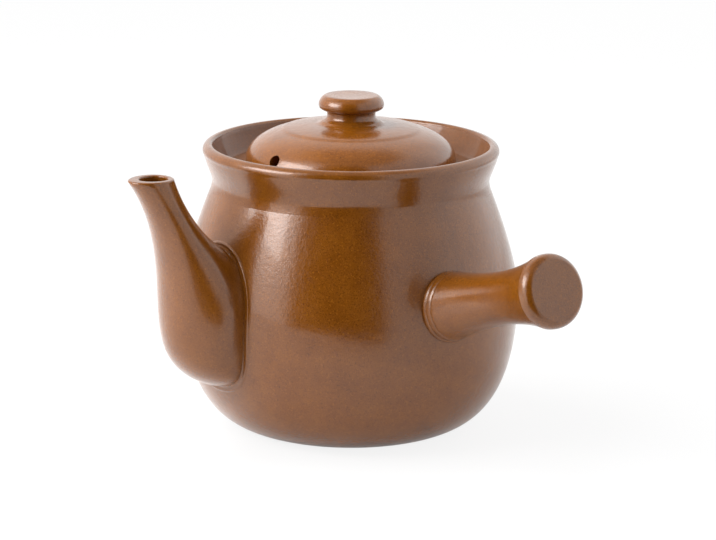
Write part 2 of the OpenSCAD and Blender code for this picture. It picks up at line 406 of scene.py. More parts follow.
join = [
    (belly_radius(neck_z - smoothed_h) + smoothed_t, neck_z - smoothed_h),
    (neck_r + join_under[0], neck_z + join_under[1]),
    (neck_r + join_over[0], neck_z + join_over[1]),
    face_line[0],
]
lip_outside = [
    (lip_r, lip_z - bead_h + bead_pull),
    (lip_r + bead_swell, lip_z - lip_round),
    (lip_r - lip_shoulder * lip_t, lip_z),
    (crown_r, lip_z),
]
lip_inside = [
    (crown_r, lip_z),
    ((crown_r + lip_in_r) / 2, lip_z),
    (lip_in_r, lip_z - lip_round / 2),
    (lip_in_r, lip_z - lip_round),
]
trough_corner = [
    (trough_r + ledge_round / 2, ledge_z + ledge_round),
    (trough_r, ledge_z + ledge_round / 3),
    (trough_r - ledge_round / 3, ledge_z),
    (trough_r - ledge_round, ledge_z),
]
ledge_edge = [
    (mouth_r + ledge_round, ledge_z),
    (mouth_r + ledge_round / 3, ledge_z),
    (mouth_r, ledge_z - ledge_round / 3),
    (mouth_r, ledge_z - ledge_round),
]
collar = throw(
    "thrown_collar",
    outline(
        curve(join, 10),
        face_line[1:],
        curve(lip_outside, 14),
        curve(lip_inside, 8),
        curve(trough_corner, 8),
        curve(ledge_edge, 8),
        [(mouth_r, ledge_z - ledge_t + ledge_chamfer)],
        [(mouth_r + ledge_chamfer, ledge_z - ledge_t)],
        [(neck_inner_r, neck_z)],
    ),
)

# %% [markdown]
# ## The lid
# The lid is a shallow dome with an upright edge. The potter's rib leaves one soft step on its
# top, and a low boss carries the knob. The dome has an even wall: its inner face is the outer
# curve at a steady distance. The seat ring below it is a piece of its own.

# %% Lid
lid_edge_h = 3.5 * mm
lid_dome_h = 23.8 * mm
lid_t = 5 * mm
edge_round = 1.2 * mm
dome_rise = 11 * mm
dome_run = 25.7 * mm
dome_drop = 1.5 * mm
boss_r = 16.3 * mm
boss_spread = 4 * mm
boss_foot_r = boss_r + boss_spread
step_r = 38.5 * mm
step_h = 0.5 * mm
step_w = 2.2 * mm
flange_t = 4.5 * mm
flange_root_h = 4 * mm
flange_inner_r = flange_r - flange_t
dome = [
    (lid_r, ledge_z + lid_edge_h),
    (lid_r, ledge_z + lid_edge_h + dome_rise),
    (boss_foot_r + dome_run, ledge_z + lid_dome_h - dome_drop),
    (boss_foot_r, ledge_z + lid_dome_h),
]


def stepped(point):
    """A point of the dome's line, raised by the soft turned step."""
    rise = smooth((step_r + step_w / 2 - point.x) / step_w)
    return Vector((point.x, point.y + step_h * rise))


dome_line = [stepped(p) for p in curve(dome, 56)]
lid_under = [p for p in beside(dome, lid_t, 56) if p.x < flange_inner_r - mm]
lid_edge = [
    (lid_r - edge_round, lid_z),
    (lid_r - edge_round / 3, lid_z),
    (lid_r, lid_z + edge_round / 3),
    (lid_r, lid_z + edge_round),
]
boss_foot_pull = 1.2 * mm
boss_top_pull = 0.4 * mm
boss_top_in = 0.3 * mm
boss_top_drop = 0.2 * mm
boss_side = [
    (boss_foot_r, ledge_z + lid_dome_h + step_h),
    (boss_r + boss_foot_pull, ledge_z + lid_dome_h + step_h),
    (boss_r + boss_top_pull, knob_z - boss_top_drop),
    (boss_r - boss_top_in, knob_z),
]
lid = throw(
    "domed_lid",
    outline(
        [(flange_inner_r, lid_z)],
        curve(lid_edge, 5),
        dome_line,
        curve(boss_side, 8),
        [(0, knob_z), (0, lid_under[-1].y)],
        reversed(lid_under),
        [(flange_inner_r, lid_z + flange_root_h)],
    ),
)

# %% [markdown]
# ## Steam hole
# Steam leaves through one slanted hole close to the lid's edge, pierced like the strainer's.
# Its place is found from the dome's own line, at a small distance in from the edge, and turned
# a little from the spout's side towards the handle.

# %% Steam hole
steam_d = 7.2 * mm
steam_edge = 1.8 * mm
steam_cut = 30 * mm
steam_back = 3 * mm
steam_x = lid_r - steam_edge
steam_turn = math.radians(7)
steam_lean = math.radians(60)
steam_z = float(np.interp(steam_x, [p.x for p in reversed(dome_line)],
                          [p.y for p in reversed(dome_line)]))
steam_at = Vector((-steam_x * math.cos(steam_turn), -steam_x * math.sin(steam_turn), steam_z))
steam_way = Vector((
    -math.sin(steam_lean) * math.cos(steam_turn),
    -math.sin(steam_lean) * math.sin(steam_turn),
    math.cos(steam_lean),
))
bit_turn = steam_way.to_track_quat("Z", "Y").to_euler()
cut_away(lid, drill([steam_at - steam_back * steam_way], steam_d, steam_cut, bit_turn))
shade(lid)
print("steam hole at", [round(v / mm, 1) for v in steam_at], "mm")

# %% [markdown]
# ## The seat ring
# A low ring under the lid drops into the mouth and keeps the lid from sliding off when the
# pot is tipped to pour. The glaze is wiped off it before firing, or the lid would fuse to the
# pot, so later it gets the bare clay's finish.

# %% Seat ring
chamfer = 0.9 * mm
chamfer_mid = 0.3 * chamfer
seat_ring = throw(
    "seat_ring",
    outline(
        [(flange_inner_r, flange_z + chamfer)],
        [(flange_inner_r + chamfer_mid, flange_z + chamfer_mid)],
        [(flange_inner_r + chamfer, flange_z), (flange_r - chamfer, flange_z)],
        [(flange_r - chamfer_mid, flange_z + chamfer_mid)],
        [(flange_r, flange_z + chamfer), (flange_r, lid_z), (flange_inner_r, lid_z)],
    ),
)

# %% [markdown]
# ## The knob
# The knob is turned from one lump: a spread foot, a drawn-in neck for two fingertips, and a
# wide flat head with a rounded edge. All of it is one outline: three curves, and a slight dip
# on the top.

# %% Knob
knob_foot_r = 15.8 * mm
knob_neck_r = 13.5 * mm
knob_top_r = 14.7 * mm
knob_foot_h = 1.8 * mm
knob_foot_bend = (0.4 * mm, 0.8 * mm)
knob_neck_low = 3.2 * mm
knob_neck_high = 4.2 * mm
knob_under_in = 5.9 * mm
knob_under_out = 5.7 * mm
knob_wide_share = 0.62
knob_wide_h = knob_wide_share * knob_h
knob_brow_h = 2.5 * mm
knob_shoulder_h = 0.7 * mm
knob_rim_w = 3 * mm
knob_rim_dip = 0.12 * mm
knob_dip = 0.3 * mm
knob_foot = [
    (knob_foot_r, 0),
    (knob_neck_r + knob_foot_bend[0], knob_foot_bend[1]),
    (knob_neck_r, knob_foot_h),
    (knob_neck_r, knob_neck_low),
]
knob_under = [
    (knob_neck_r, knob_neck_high),
    (knob_neck_r, knob_under_in),
    (knob_r, knob_under_out),
    (knob_r, knob_wide_h),
]
knob_over = [
    (knob_r, knob_wide_h),
    (knob_r, knob_wide_h + knob_brow_h),
    ((knob_r + knob_top_r) / 2, knob_h - knob_shoulder_h),
    (knob_top_r, knob_h),
]
knob_line = outline([(0, 0)], curve(knob_foot, 8), curve(knob_under, 14), curve(knob_over, 12))
knob_dish = [(knob_top_r - knob_rim_w, knob_h - knob_rim_dip), (0, knob_h - knob_dip)]
knob = throw(
    "turned_knob",
    [Vector((p.x, p.y + knob_z)) for p in outline(knob_line, knob_dish)],
    closed=False,
)

# %% [markdown]
# ## A skin on a rule
# The spout and the handle grow out of a round belly, so their roots follow its curve, and a
# chain of extrudes can't lay that edge. A flat grid is used instead, like a sheet of clay: one
# side runs round the tube and the other along it. Every vertex of the sheet is moved to its
# place by a rule, then the sheet's edges are merged where they meet. `halve` finds the place
# where a line of the skin meets the belly, by cutting a stretch of it in two again and again.

# %% Wrapping a sheet into a tube
wrapped_crease = 50
halvings = 30


def wrap(name, rings, sides):
    """A closed skin over rings of points, each ring going once round the tube."""
    bpy.ops.object.select_all(action="DESELECT")
    bpy.ops.mesh.primitive_grid_add(x_subdivisions=sides, y_subdivisions=len(rings), size=1)
    piece = bpy.context.object
    piece.name = name
    closed = rings + [rings[0]]
    for vertex in piece.data.vertices:
        on_ring = round((vertex.co.x + 0.5) * sides) % sides
        ring = round((vertex.co.y + 0.5) * len(rings))
        vertex.co = closed[ring][on_ring]
    bpy.ops.object.mode_set(mode="EDIT")
    bpy.ops.mesh.select_all(action="SELECT")
    bpy.ops.mesh.remove_doubles(threshold=merge_within)
    bpy.ops.mesh.normals_make_consistent(inside=False)
    bpy.ops.object.mode_set(mode="OBJECT")
    shade(piece, wrapped_crease)
    print(name, "has", len(piece.data.polygons), "faces")
    return piece


def halve(inside, low, high):
    """The travel at which a test turns from true to false, found by halving."""
    for _ in range(halvings):
        middle = (low + high) / 2
        if inside(middle):
            low = middle
        else:
            high = middle
    return middle


def across(lines):
    """Turns lines that run along a tube into rings that run round it."""
    return [list(ring) for ring in zip(*lines)]


def in_belly(point):
    """Whether a point lies inside the belly's outer face."""
    return math.hypot(point.x, point.y) < belly_radius(point.z)


# %% [markdown]
# ## The spout
# The spout's middle line is one curve: it leaves the belly level, inside a swollen root, and
# climbs to a narrow mouth as high as the lip, which keeps the broth in. Round that line the
# section is an oval, tall at the root and round at the mouth. The luting presses the root a
# little in at its sides and square below.

# %% Spout's rule
spout_reach = 130.6 * mm
spout_lean = math.radians(24)
spout_neck_pull = 50 * mm
spout_sink = 10 * mm
root_climb = mm
spout_path = [
    (belly_r - spout_sink, strainer_z),
    (belly_r - root_climb, strainer_z + root_climb),
    (spout_reach - spout_neck_pull * math.sin(spout_lean),
     spout_top_z - spout_neck_pull * math.cos(spout_lean)),
    (spout_reach, spout_top_z),
]
bulb_h = 43.1 * mm
bulb_w = 29.4 * mm
bulb_taper = 5 * mm
bulb_swell = 8 * mm
throat_h = 2 * mm
throat_swell = 3.7 * mm
spout_mouth_r = 11.5 * mm
spout_heights = [bulb_h, bulb_h - bulb_taper, throat_h, spout_mouth_r]
spout_widths = [bulb_w, bulb_w + bulb_swell, spout_mouth_r + throat_swell, spout_mouth_r]
root_draw_in = 0.10
root_square = 0.50


def pressed(a):
    """How far the luting presses the root in, or squares it below, as a share of its width."""
    return root_square * max(0, math.cos(a)) ** 2 - root_draw_in


def spout_skin(t, a, depth, luted=0.0):
    """A point of the spout's skin at travel t and angle a, that deep inside its outer face."""
    middle = bezier(spout_path, t)
    way = bezier_way(spout_path, t)
    height = cubic(spout_heights, t) - depth
    width = cubic(spout_widths, t) * (1 + luted * pressed(a)) - depth
    return Vector((
        -middle.x - height * math.cos(a) * way.y,
        width * math.sin(a),
        middle.y - height * math.cos(a) * way.x,
    ))


print("spout's mouth is", round(2 * spout_mouth_r / mm), "mm wide outside")

# %% [markdown]
# ## The spout's lines
# Each lengthwise line of the skin starts where it leaves the belly and stops just under the
# level mouth. The luting fades out along the first part of its travel. The outer lines have
# more points near the root, where the shape turns fastest. The inner ones lie one wall's
# thickness deeper, and the hole they make leans towards the pot, where the wall is pinched.

# %% Spout's lines
spout_wall = 4.3 * mm
spout_edge_r = 0.9 * mm
spout_sides = 128
spout_rings = 84
hole_rings = 30
crowded, evenly = 1.6, 1.0
root_search = (-0.4, 0.7)
mouth_search = (0.7, 1.3)
luted_travel = 0.30
hole_shift = 1.2 * mm


def spout_lines(depth, count, power):
    """The skin's lines. Those of the hole shift towards the pot as they near the mouth."""
    lines = []
    for j in range(spout_sides):
        a = 2 * math.pi * j / spout_sides
        start = halve(lambda t: in_belly(spout_skin(t, a, depth, 1)), *root_search)
        stop = halve(
            lambda t: spout_skin(t, a, depth).z < spout_top_z - spout_edge_r, *mouth_search)
        line = []
        for i in range(count + 1):
            share = (i / count) ** power
            t = start + (stop - start) * share
            luted = 1 - smooth((t - start) / luted_travel)
            point = spout_skin(t, a, depth, luted)
            if depth > 0:
                point.x += hole_shift * share**3
            line.append(point)
        lines.append(line)
    return lines


skin_lines = spout_lines(0, spout_rings, crowded)
hole_lines = spout_lines(spout_wall, hole_rings, evenly)
print("lines round the spout:", len(skin_lines))

# %% [markdown]
# ## The ridge round the root
# When the spout is pressed on, a thin ridge of clay squeezes out round its root, with a fine
# groove inside it. It is highest above the root and fades below. A few points are put before
# each line of the skin: they start under the belly's face, climb over the ridge and drop into
# the groove.

# %% Ridge round the root
# How far out on the belly, and how high, the points of the ridge lie, in millimetres
ridge_line = [(3.9, -0.4), (3.4, 0.12), (2.9, 0.62), (2.4, 0.80), (1.9, 0.62), (1.4, 0.22),
              (0.9, 0.0), (0.4, 0.10)]
ridge_least = 0.35
ridge_fade = (0.5, 0.9)


def belly_out(point):
    """The direction straight out of the belly's face."""
    slope = (belly_radius(point.z + mm) - belly_radius(point.z - mm)) / (2 * mm)
    flat = Vector((point.x, point.y, 0)).normalized()
    return (flat - Vector((0, 0, slope))).normalized()


def ridged(lines):
    """Starts each line with the clay pressed up round the root, highest near the top."""
    roots = [line[0].copy() for line in lines]
    middle = sum(roots, Vector()) / len(roots)
    for j, line in enumerate(lines):
        root = roots[j]
        out = belly_out(root)
        away = (roots[(j + 1) % len(roots)] - roots[j - 1]).cross(out).normalized()
        if away.dot(root - middle) < 0:
            away = -away
        a = 2 * math.pi * j / len(lines)
        upward = smooth(ridge_fade[0] - ridge_fade[1] * math.cos(a))
        height = ridge_least + (1 - ridge_least) * upward
        start = [root + mm * along * away + mm * up * (height if up > 0 else 1) * out
                 for along, up in ridge_line]
        line[:1] = start
    return lines


spout_outer = across(ridged(skin_lines))
spout_inner = across(hole_lines)
print("rings along the spout:", len(spout_outer))

# %% [markdown]
# ## The spout's mouth
# The mouth's edge is level and rounded, so that the broth leaves it cleanly. Both faces end in
# rings that turn towards each other over a quarter circle. Then all the rings, out and back in,
# are wrapped into one closed skin.

# %% Spout's mouth
lip_steps = 5


def rounded_lip(ring, sign):
    """Rings that round a level edge, turning towards (1) or away from (-1) the middle."""
    centre = sum(ring, Vector()) / len(ring)
    rings = []
    for i in range(1, lip_steps + 1):
        f = math.radians(90 * i / lip_steps)
        rise = Vector((0, 0, spout_edge_r * math.sin(f)))
        rings.append([
            p + sign * spout_edge_r * (1 - math.cos(f)) * (centre - p).normalized() + rise
            for p in ring
        ])
    return rings


spout = wrap(
    "pulled_spout",
    spout_outer
    + rounded_lip(spout_outer[-1], 1)
    + rounded_lip(spout_inner[-1], -1)[::-1]
    + spout_inner[::-1],
    spout_sides,
)

# %% [markdown]
# ## The handle
# The handle is thrown as a small waisted tube and luted on at a slant. It is turned on its own
# axis, so its skin is a radius at each distance from the belly, and its root is trimmed to the
# belly's curve.

# %% Handle's rule
handle_z = 86.6 * mm
handle_tilt = math.radians(17.2)
handle_len = 89.8 * mm
end_disc_t = 7 * mm
tube_len = handle_len - end_disc_t
handle_root_r = 19.1 * mm
handle_end_r = 19.5 * mm
waist_in = (14.1 * mm, 0.30 * tube_len)
waist_out = (11.0 * mm, 0.66 * tube_len)
handle_line = [(handle_root_r, 0), waist_in, waist_out, (handle_end_r, tube_len)]
handle_at = Vector((0, -belly_radius(handle_z), handle_z))
handle_way = Vector((0, -math.cos(handle_tilt), math.sin(handle_tilt)))
handle_up = Vector((0, math.sin(handle_tilt), math.cos(handle_tilt)))
handle_side = Vector((1, 0, 0))
root_slope = (handle_root_r - waist_in[0]) / waist_in[1]


def handle_skin(t, a, depth):
    """A point of the handle's skin, at travel t from the belly, below 0 inside it."""
    if t < 0:
        radius, along = handle_root_r - root_slope * t * tube_len, t * tube_len
    else:
        radius, along = bezier(handle_line, t)
    spoke = math.cos(a) * handle_up + math.sin(a) * handle_side
    return handle_at + along * handle_way + (radius - depth) * spoke


print("handle stands out", round(handle_len / mm, 1), "mm along its own axis")

# %% [markdown]
# ## The handle's lines
# As on the spout, each lengthwise line starts where it leaves the belly, and has more points
# near the root. The luted edge rolls in a little there. The join is finished with a turning
# tool, which leaves two fine grooves.

# %% Handle
handle_wall = 4.5 * mm
handle_sides = 128
handle_rings = 120
handle_crowded = 1.7
cavity_rings = 24
handle_search = (-0.3, 0.3)
roll_w = 1.5 * mm
roll_depth = 1.0 * mm
groove_places = [3.2 * mm, 6.4 * mm]
groove_w = 1.3 * mm
groove_depth = 0.35 * mm


def handle_lines(depth, count, power):
    """The skin's lines, from the belly to the handle's end."""
    lines = []
    for j in range(handle_sides):
        a = 2 * math.pi * j / handle_sides
        start = halve(lambda t: in_belly(handle_skin(t, a, depth)), *handle_search)
        lines.append([
            handle_skin(start + (1 - start) * (i / count) ** power, a, depth)
            for i in range(count + 1)
        ])
    return lines


def inward(point):
    """The direction from a point of the skin straight to the handle's own axis."""
    along = (point - handle_at).dot(handle_way)
    return (handle_at + along * handle_way - point).normalized()


def rolled(lines):
    """Rolls the root of each line in towards the handle's axis, like a luted edge."""
    for line in lines:
        root = line[0].copy()
        for point in line:
            near = 1 - min((point - root).length / roll_w, 1)
            point += inward(point) * roll_depth * near * near
    return lines


def grooved(lines):
    """Presses the turned grooves into the handle's root."""
    for line in lines:
        root = line[0].copy()
        for point in line:
            distance = (point - root).length
            for place in groove_places:
                near = 1 - abs(distance - place) / (groove_w / 2)
                point += inward(point) * groove_depth * smooth(near)
    return lines


handle_outer = grooved(rolled(handle_lines(0, handle_rings, handle_crowded)))
handle_inner = handle_lines(handle_wall, cavity_rings, evenly)
handle = wrap(
    "hollow_handle",
    across(handle_outer) + across(handle_inner)[::-1],
    handle_sides,
)

# %% [markdown]
# ## The handle's end
# A disc closes the handle. Its edge is rounded over generously, up to a crisp line round the
# flat face, which gives the palm a soft end to rest on. It is turned like the other round pieces,
# then tilted onto the handle, and its place is applied so that the object itself stays at the
# origin.

# %% End disc
end_edge_r = 5.2 * mm
end_round_stop = math.radians(70)
end_round_steps = 14
end_face_r = 6 * mm
end_crease = 14
end_round = []
for i in range(end_round_steps + 1):
    f = end_round_stop * i / end_round_steps
    end_round.append((
        handle_end_r - end_edge_r * (1 - math.cos(f)),
        end_disc_t - end_edge_r * (1 - math.sin(f) / math.sin(end_round_stop)),
    ))
end_disc = throw(
    "handle_end_disc",
    outline(
        [(0, 0), (handle_end_r, 0)],
        end_round,
        [(end_face_r, end_disc_t), (0, end_disc_t)],
    ),
    closed=False,
)
shade(end_disc, end_crease)
end_disc.location = handle_at + tube_len * handle_way
end_disc.rotation_euler = (math.radians(90) - handle_tilt, 0, 0)
bpy.ops.object.select_all(action="DESELECT")
end_disc.select_set(True)
bpy.context.view_layer.objects.active = end_disc
bpy.ops.object.transform_apply(location=True, rotation=True, scale=True)

# %% [markdown]
# ## A bench for materials
# A finish is a small net of nodes: noise makes a pattern, a ramp turns it into colours, a bump
# tilts the surface. They could be joined by hand in the Shader Editor. Here a bench adds each
# node with one call and hands back its result, so that a finish reads from top to bottom. Every
# pattern lies on the object's own coordinates, so it stays put on the pot from every side.


# %% Material bench
def rgba(colour):
    """A colour with its alpha, as the sockets want it."""
    return (*colour, 1.0)


def grey(level):
    """A grey of that level."""
    return (level,) * 3


class Bench:
    """A material's nodes, added one after another and linked by name."""

    def __init__(self, name):
        self.material = bpy.data.materials.new(name)
        self.material.use_nodes = True
        self.nodes = self.material.node_tree.nodes
        self.links = self.material.node_tree.links
        self.shader = self.nodes["Principled BSDF"]
        self.place = self.nodes.new("ShaderNodeTexCoord").outputs["Object"]

    def set(self, **values):
        """Numbers that are the same all over, set on the shader's own sockets."""
        for key, value in values.items():
            self.shader.inputs[key.replace("_", " ")].default_value = value

    def noise(self, scale, detail=4.0, roughness=0.55):
        """Cloudy noise, finer with a larger scale."""
        node = self.nodes.new("ShaderNodeTexNoise")
        node.inputs["Scale"].default_value = scale
        node.inputs["Detail"].default_value = detail
        node.inputs["Roughness"].default_value = roughness
        self.links.new(self.place, node.inputs["Vector"])
        return node.outputs["Fac"]

    def ramp(self, value, stops):
        """Colours picked by a value, from (position, colour) stops."""
        node = self.nodes.new("ShaderNodeValToRGB")
        first, last = node.color_ramp.elements
        first.position, first.color = stops[0][0], rgba(stops[0][1])
        last.position, last.color = stops[-1][0], rgba(stops[-1][1])
        for position, colour in stops[1:-1]:
            node.color_ramp.elements.new(position).color = rgba(colour)
        self.links.new(value, node.inputs["Fac"])
        return node.outputs["Color"]

    def span(self, value, low, high, to_low, to_high):
        """A value moved from one span of numbers to another."""
        node = self.nodes.new("ShaderNodeMapRange")
        for key, number in (("From Min", low), ("From Max", high),
                            ("To Min", to_low), ("To Max", to_high)):
            node.inputs[key].default_value = number
        self.links.new(value, node.inputs["Value"])
        return node.outputs["Result"]

    def mix(self, share, a, b, blend="MIX"):
        """Two colours mixed. Each of the three values is a number, a colour or a node's result."""
        node = self.nodes.new("ShaderNodeMix")
        node.data_type = "RGBA"
        node.blend_type = blend
        for socket, value in ((node.inputs["Factor"], share), (node.inputs["A"], a),
                              (node.inputs["B"], b)):
            if isinstance(value, bpy.types.NodeSocket):
                self.links.new(value, socket)
            elif isinstance(value, tuple):
                socket.default_value = rgba(value)
            else:
                socket.default_value = value
        return node.outputs["Result"]

    def within(self, radius, height, soft):
        """1 inside a radius round the pot's axis and above a height, 0 elsewhere."""
        flat = self.nodes.new("ShaderNodeVectorMath")
        flat.operation = "MULTIPLY"
        flat.inputs[1].default_value = (1, 1, 0)
        self.links.new(self.place, flat.inputs[0])
        distance = self.nodes.new("ShaderNodeVectorMath")
        distance.operation = "LENGTH"
        self.links.new(flat.outputs["Vector"], distance.inputs[0])
        parts = self.nodes.new("ShaderNodeSeparateXYZ")
        self.links.new(self.place, parts.inputs[0])
        both = self.nodes.new("ShaderNodeMath")
        both.operation = "MULTIPLY"
        self.links.new(self.span(distance.outputs["Value"], radius - soft, radius, 1, 0),
                       both.inputs[0])
        self.links.new(self.span(parts.outputs["Z"], height, height + soft, 0, 1), both.inputs[1])
        return both.outputs[0]

    def bump(self, value, strength, distance, below=None):
        """A tilt of the surface from a value, on top of another bump if there is one below."""
        node = self.nodes.new("ShaderNodeBump")
        node.inputs["Strength"].default_value = strength
        node.inputs["Distance"].default_value = distance
        self.links.new(value, node.inputs["Height"])
        if below is not None:
            self.links.new(below, node.inputs["Normal"])
        return node.outputs["Normal"]


# %% [markdown]
# ## Glaze
# The pot is dipped in an iron glaze that fires to caramel brown. It is even from a step away.
# Up close it holds fine dark and pale specks of the clay below, and a slight orange peel breaks
# up the edges of the highlights. Light also goes a little way into the glaze and comes back
# brown, so part of the gloss is coloured: a small metallic share does that, under a thin clear
# coat. The lid and the knob get a lighter copy of the glaze. That is painted light, standing in
# for the light that falls on their upturned tops. The seat round the lid is only thinly glazed,
# so it is duller. Each noise below is named with its scale, its detail and its roughness, and
# each bump with its strength and its depth.

# %% Glaze
glaze_shades = [(0.140, 0.0412, 0.0024), (0.158, 0.0478, 0.0031), (0.176, 0.0553, 0.0043)]
shade_stops = (0.32, 0.5, 0.68)
# Painted light: the lid's shades are raised by this factor to stand for the light on its upturned top
lid_painted_light = 1.18
cloud_noise = (75, 5, 0.6)
dark_noise = (1300, 2, 0.6)
dark_share = 0.7
dark_stops = [(0.32, grey(0.45)), (0.48, grey(1))]
pale_noise = (1000, 2, 0.6)
pale_stops = [(0.56, grey(0)), (0.74, grey(1))]
pale_lighter = 1.30
gloss_noise = (240, 4)
gloss_span = (0.3, 0.7)
glossiest, dullest = 0.16, 0.25
brown_gloss = 0.06
glaze_ior = 1.47
coat, coat_rough = 0.34, 0.09
seat_r = lip_in_r + 0.3 * mm
seat_dull = 0.35
hand_noise, hand_bump = (34, 2, 0.4), (0.25, 1.2 * mm)
peel_noise, peel_bump = (420, 3, 0.5), (0.50, 0.25 * mm)
grain_noise, grain_bump = (1500, 2, 0.5), (0.80, 0.11 * mm)


def glaze(name, shades, dull=0.0):
    """Caramel glaze in three shades, and how much duller it is round the lid's seat."""
    bench = Bench(name)
    tone = bench.ramp(bench.noise(*cloud_noise), list(zip(shade_stops, shades)))
    dark_specks = bench.ramp(bench.noise(*dark_noise), dark_stops)
    coloured = bench.mix(dark_share, tone, dark_specks, "MULTIPLY")
    pale_specks = bench.ramp(bench.noise(*pale_noise), pale_stops)
    coloured = bench.mix(pale_specks, coloured, tuple(pale_lighter * c for c in shades[-1]))
    bench.links.new(coloured, bench.shader.inputs["Base Color"])
    uneven = bench.span(bench.noise(*gloss_noise), *gloss_span, glossiest, dullest)
    seat = bench.span(bench.within(seat_r, ledge_z - mm, mm), 0, 1, 0, dull)
    roughness = bench.nodes.new("ShaderNodeMath")
    bench.links.new(uneven, roughness.inputs[0])
    bench.links.new(seat, roughness.inputs[1])
    bench.links.new(roughness.outputs[0], bench.shader.inputs["Roughness"])
    hand = bench.bump(bench.noise(*hand_noise), *hand_bump)
    peel = bench.bump(bench.noise(*peel_noise), *peel_bump, hand)
    grain = bench.bump(bench.noise(*grain_noise), *grain_bump, peel)
    bench.links.new(grain, bench.shader.inputs["Normal"])
    bench.set(Metallic=brown_gloss, IOR=glaze_ior,
              Coat_Weight=coat, Coat_Roughness=coat_rough)
    return bench.material


# A lighter copy of the glaze for the lid and the knob, as painted light from above
lid_lit_shades = [tuple(lid_painted_light * c for c in colour) for colour in glaze_shades]
pot_glaze = glaze("caramel_glaze", glaze_shades, seat_dull)
lid_lit_glaze = glaze("caramel_glaze_lid_painted_light", lid_lit_shades)
print("the lid's middle shade:", [round(c, 3) for c in lid_lit_shades[1]])

# %% [markdown]
# ## Bare clay
# Where the glaze is wiped off, the fired clay shows: dull, buff and sandy. The seat ring has
# it all over.

# %% Bare clay
clay_buff = (0.36, 0.20, 0.105)
clay_dark = (0.24, 0.12, 0.06)
clay_noise, clay_stops = (70, 5), [(0.3, clay_dark), (0.65, clay_buff)]
sand_noise = (1300, 3, 0.7)
sand_stops = [(0.35, grey(0.62)), (0.55, grey(1))]
sand_share = 0.8
clay_rough = 0.85
gritty_noise, gritty_bump = (900, 4, 0.65), (0.6, 0.2 * mm)

clay_bench = Bench("bare_clay")
clay_tone = clay_bench.ramp(clay_bench.noise(*clay_noise), clay_stops)
sand = clay_bench.ramp(clay_bench.noise(*sand_noise), sand_stops)
sandy = clay_bench.mix(sand_share, clay_tone, sand, "MULTIPLY")
clay_bench.links.new(sandy, clay_bench.shader.inputs["Base Color"])
clay_bench.set(Roughness=clay_rough)
gritty = clay_bench.bump(clay_bench.noise(*gritty_noise), *gritty_bump)
clay_bench.links.new(gritty, clay_bench.shader.inputs["Normal"])
bare_clay = clay_bench.material
print("nodes in the bare clay:", len(clay_bench.nodes))

# %% [markdown]
# ## Putting it together
# Each modelled piece takes the place of its solid, moves with the same body, and gets its
# finish. The lid's three pieces lift together. The solids get the finishes too, so that they
# look right if they are ever shown.

# %% Pieces, bodies and finishes
pieces = [
    (belly, "pot", "vessel", pot_glaze, "glazed_clay"),
    (collar, "pot", "collar", pot_glaze, "glazed_clay"),
    (spout, "pot", "spout", pot_glaze, "glazed_clay"),
    (handle, "pot", "handle", pot_glaze, "glazed_clay"),
    (end_disc, "pot", "handle_end_cap", pot_glaze, "glazed_clay"),
    (lid, "lid", "lid", lid_lit_glaze, "glazed_lid"),
    (seat_ring, "lid", "lid_flange", bare_clay, "bare_clay"),
    (knob, "lid", "knob", lid_lit_glaze, "glazed_lid"),
]
for piece, body, node, finish, slot in pieces:
    piece.data.materials.clear()
    piece.data.materials.append(finish)
    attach(piece, body)
    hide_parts(node)
for name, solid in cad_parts.items():
    solid.data.materials.clear()
    solid.data.materials.append(bare_clay if name == "lid_flange" else pot_glaze)
print("pieces:", len(pieces))

# %% [markdown]
# ## The table and the light
# A glazed pot is seen mostly by what it mirrors. In a studio that is a white room: the table
# and the walls make soft pale reflections, and the dark gap round the camera leaves the front
# of the belly in its own deep colour. `front` is the side of the room where the camera stands.
# The floor is a plain white sheet. It glows where it is looked at, and less where it is
# mirrored, which keeps it white and leaves the pot only a faint shadow.

# %% Table
front = math.radians(-36)
table_front = 0.30
table_turn = front + math.radians(22)
table_size = 5.0
bpy.ops.object.select_all(action="DESELECT")
bpy.ops.mesh.primitive_plane_add(size=table_size)
table = bpy.context.object
table.name = "table"
table.rotation_euler.z = table_turn
table_way = Vector((-math.sin(table_turn), math.cos(table_turn), 0))
table.location = (table_size / 2 - table_front) * table_way
table_white = 0.86
table_rough = 0.9
table_glow = 0.86
mirrored_glow = 0.30
table_bench = Bench("white_table")
table_bench.set(Base_Color=rgba(grey(table_white)), Roughness=table_rough)
glow = table_bench.nodes.new("ShaderNodeEmission")
both = table_bench.nodes.new("ShaderNodeMixShader")
seen_by = table_bench.nodes.new("ShaderNodeLightPath")
glow_share = both.inputs[0]
for ray, share in (("Is Camera Ray", table_glow), ("Is Glossy Ray", mirrored_glow),
                   ("Is Transmission Ray", mirrored_glow)):
    adder = table_bench.nodes.new("ShaderNodeMath")
    adder.operation = "MULTIPLY_ADD"
    adder.inputs[1].default_value = share
    adder.inputs[2].default_value = 0
    table_bench.links.new(seen_by.outputs[ray], adder.inputs[0])
    table_bench.links.new(adder.outputs[0], glow_share)
    glow_share = adder.inputs[2]
table_bench.links.new(table_bench.shader.outputs[0], both.inputs[1])
table_bench.links.new(glow.outputs[0], both.inputs[2])
table_bench.links.new(both.outputs[0], table_bench.nodes["Material Output"].inputs["Surface"])
table.data.materials.append(table_bench.material)
print("table reaches", table_front, "m in front of the pot's axis")

# %% [markdown]
# ## The room
# The room is the world itself. Its brightness depends only on the direction in the room, as a
# bearing from the front, where the camera stands: a dark gap in front of the pot, a bright
# window on its left, a dimmer wall behind that, and white walls on the right, the far one the
# brighter. The ceiling is dim, which keeps the front of the lid a deep colour. Seen directly
# the room is plain white.

# %% Room
window_left = math.radians(-84)
gap_left = math.radians(-43)
gap_right = math.radians(24)
far_wall = math.radians(72)
wall_end = math.radians(142)
soft_edge = math.radians(5)
wall_soft = math.radians(14)
left_light = 1.15
window_light = 2.7
gap_light = 0.02
right_light = 1.25
far_light = 1.62
ceiling_light = 0.45
ceiling_height = 0.84
height_soft = 0.08
seen_light = 1.0

